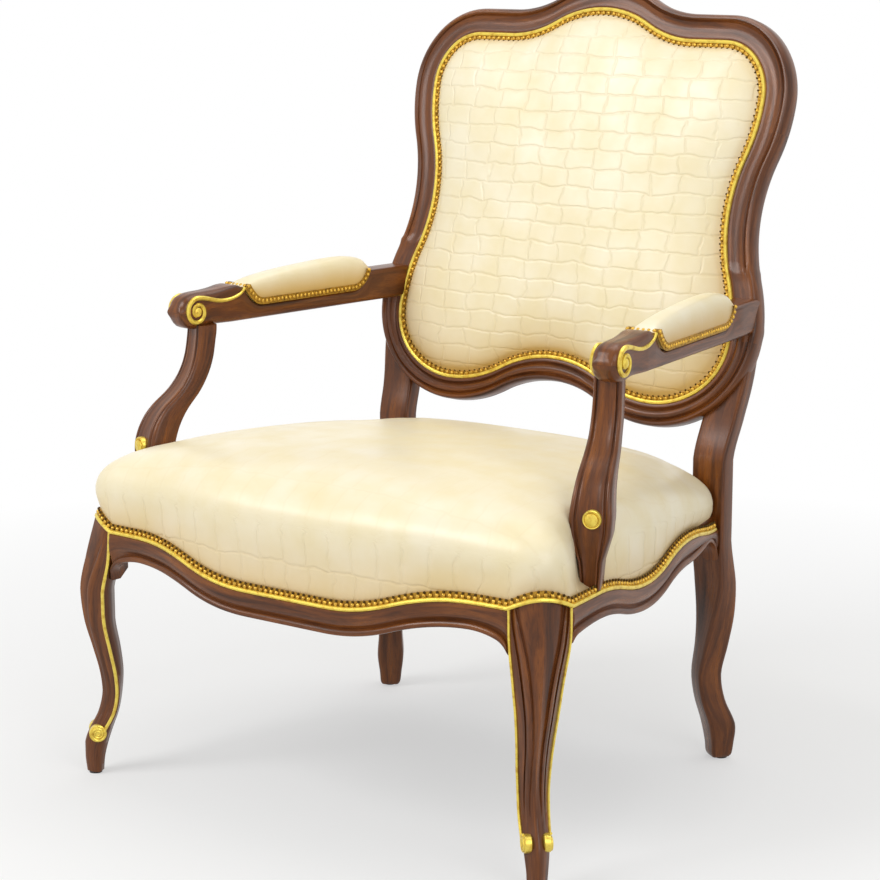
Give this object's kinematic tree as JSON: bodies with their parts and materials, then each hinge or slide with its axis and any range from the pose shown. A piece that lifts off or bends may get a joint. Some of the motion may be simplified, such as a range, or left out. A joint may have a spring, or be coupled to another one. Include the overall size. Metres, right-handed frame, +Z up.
{
  "type": "leather armchair",
  "caption": "Open-arm upholstered armchair with a carved wood frame, cabriole legs, and a leather seat, back and arm pads edged with gilt nails.",
  "frame": {"origin": "on the floor under the middle of the chair's box", "axes": "+Z up, -Y the way the sitter faces, +X to the right of a viewer who stands in front"},
  "size_m": [0.7538, 0.7433, 1.0228],
  "materials": {
    "show_wood": "walnut, stained mid brown and polished to a semi-gloss",
    "hidden_wood": "bare beech",
    "leather": "cream leather with a soft sheen, embossed in irregular tiles",
    "gilt_trim": "gilt, bright",
    "padding": "open-cell foam",
    "webbing": "woven jute",
    "dust_cloth": "thin black cloth",
    "steel": "zinc plated",
    "glide": "matt brown"
  },
  "bodies": {
    "root": {"front_leg_right": "show_wood", "front_leg_left": "show_wood", "rear_post_right": "show_wood", "rear_post_left": "show_wood", "front_rail": "show_wood", "side_rail_right": "show_wood", "side_rail_left": "show_wood", "rear_rail": "show_wood", "crest_rail": "show_wood", "back_lower_rail": "show_wood", "arm_right": "show_wood", "arm_left": "show_wood", "arm_post_right": "show_wood", "arm_post_left": "show_wood", "corner_blocks": "hidden_wood", "crest_dowels": "hidden_wood", "arm_dowels": "hidden_wood", "seat_cover": "leather", "back_cover": "leather", "arm_cover_right": "leather", "arm_cover_left": "leather", "outside_back": "leather", "seat_braid": "gilt_trim", "back_braid": "gilt_trim", "arm_braid_right": "gilt_trim", "arm_braid_left": "gilt_trim", "seat_foam": "padding", "back_foam": "padding", "arm_foam_right": "padding", "arm_foam_left": "padding", "seat_webbing_long": "webbing", "seat_webbing_cross": "webbing", "back_webbing_long": "webbing", "back_webbing_cross": "webbing", "dust_cover": "dust_cloth", "corner_screws": "steel", "arm_screws": "steel", "arm_post_bolts": "steel", "foot_glides": "glide"}
  },
  "joints": []
}
